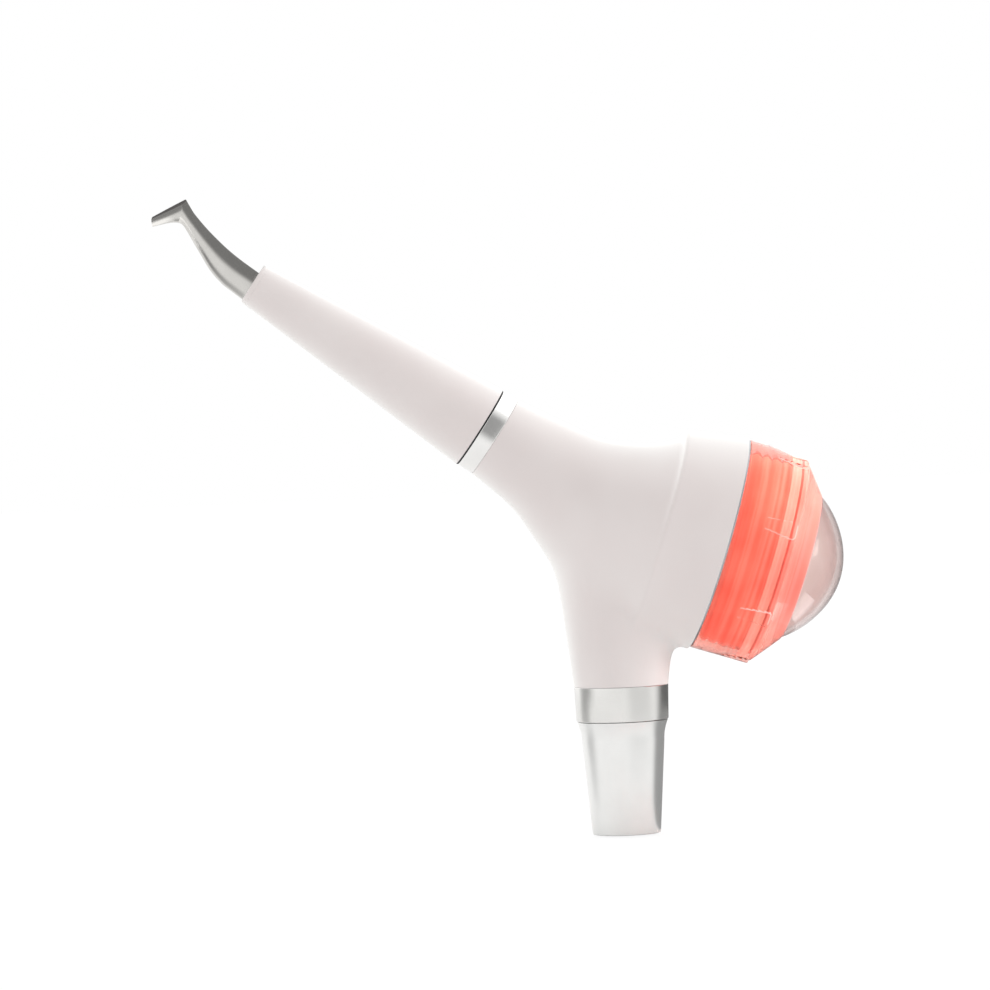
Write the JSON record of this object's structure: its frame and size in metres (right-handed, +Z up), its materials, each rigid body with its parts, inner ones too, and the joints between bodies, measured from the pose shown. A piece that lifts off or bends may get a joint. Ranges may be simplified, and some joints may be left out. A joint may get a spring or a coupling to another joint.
{
  "type": "air polishing handpiece",
  "caption": "Dental powder-jet polishing handpiece: bent jet nozzle on a tapered swivel nose, side powder chamber with screw cap, swivel hose coupling.",
  "frame": {"origin": "centre of the hose socket's mouth at the lower end of the coupling", "axes": "+Z up along the coupling towards the hub, +X towards the powder chamber, -X towards the nozzle, -Y towards the viewer"},
  "size_m": [0.1634, 0.0522, 0.1561],
  "materials": {
    "body_white": "warm white satin-moulded plastic",
    "cup_plastic": "pale translucent plastic",
    "steel_satin": "fine satin stainless steel",
    "aluminium_turned": "turned, bead-blasted",
    "cap_red": "clear coral-red plastic",
    "dome_clear": "clear, slightly smoky plastic",
    "rubber_black": "matt silicone rubber"
  },
  "bodies": {
    "coupling": {"coupling_sleeve": "steel_satin", "hose_gasket": "rubber_black", "hose_connector": "aluminium_turned", "coupling_plug": "aluminium_turned", "neck_nut": "steel_satin"},
    "swivel_seals": {"coupling_orings": "rubber_black"},
    "housing": {"body_shell": "body_white", "coupling_ring": "steel_satin", "coupling_socket": "aluminium_turned", "nose_ring": "steel_satin", "nose_socket": "aluminium_turned", "manifold_block": "aluminium_turned", "air_line": "steel_satin", "water_line": "steel_satin", "powder_line": "steel_satin", "nose_water_line": "steel_satin", "chamber_cup": "cup_plastic", "trim_ring": "steel_satin", "powder_pipe": "steel_satin", "air_pipe": "steel_satin", "air_valve": "rubber_black", "pipe_nuts": "steel_satin", "cup_screws": "steel_satin"},
    "nose_seals": {"nose_orings": "rubber_black"},
    "nose": {"nose_sleeve": "body_white", "front_ring": "body_white", "nose_plug": "aluminium_turned", "powder_tube": "steel_satin", "nozzle": "steel_satin"},
    "lid": {"dome": "dome_clear", "cap_seal": "rubber_black"},
    "cap": {"cap_ring": "cap_red"}
  },
  "joints": [
    {"name": "coupling_swivel", "type": "hinge", "parent": "coupling", "child": "swivel_seals", "pos_m": [0, 0, 0.0273], "axis": [0, 0, 1], "continuous": true},
    {"name": "coupling_release", "type": "slide", "parent": "swivel_seals", "child": "housing", "axis": [0, 0, 1], "range_m": [0, 0.022]},
    {"name": "nose_release", "type": "slide", "parent": "housing", "child": "nose_seals", "axis": [-0.8231, 0, 0.5678], "range_m": [0, 0.025]},
    {"name": "nose_swivel", "type": "hinge", "parent": "nose_seals", "child": "nose", "pos_m": [-0.03144, 0, 0.09889], "axis": [-0.8231, 0, 0.5678], "continuous": true},
    {"name": "lid_lift", "type": "slide", "parent": "housing", "child": "lid", "axis": [0.9483, 0, -0.3173], "range_m": [0, 0.0036]},
    {"name": "cap_turn", "type": "hinge", "parent": "lid", "child": "cap", "pos_m": [0.03224, 0, 0.06641], "axis": [0.9483, 0, -0.3173], "range_deg": [0, 270]}
  ],
  "couplings": [
    {"joint": "lid_lift", "follows": "cap_turn", "m_per_rad": 0.00076394}
  ]
}
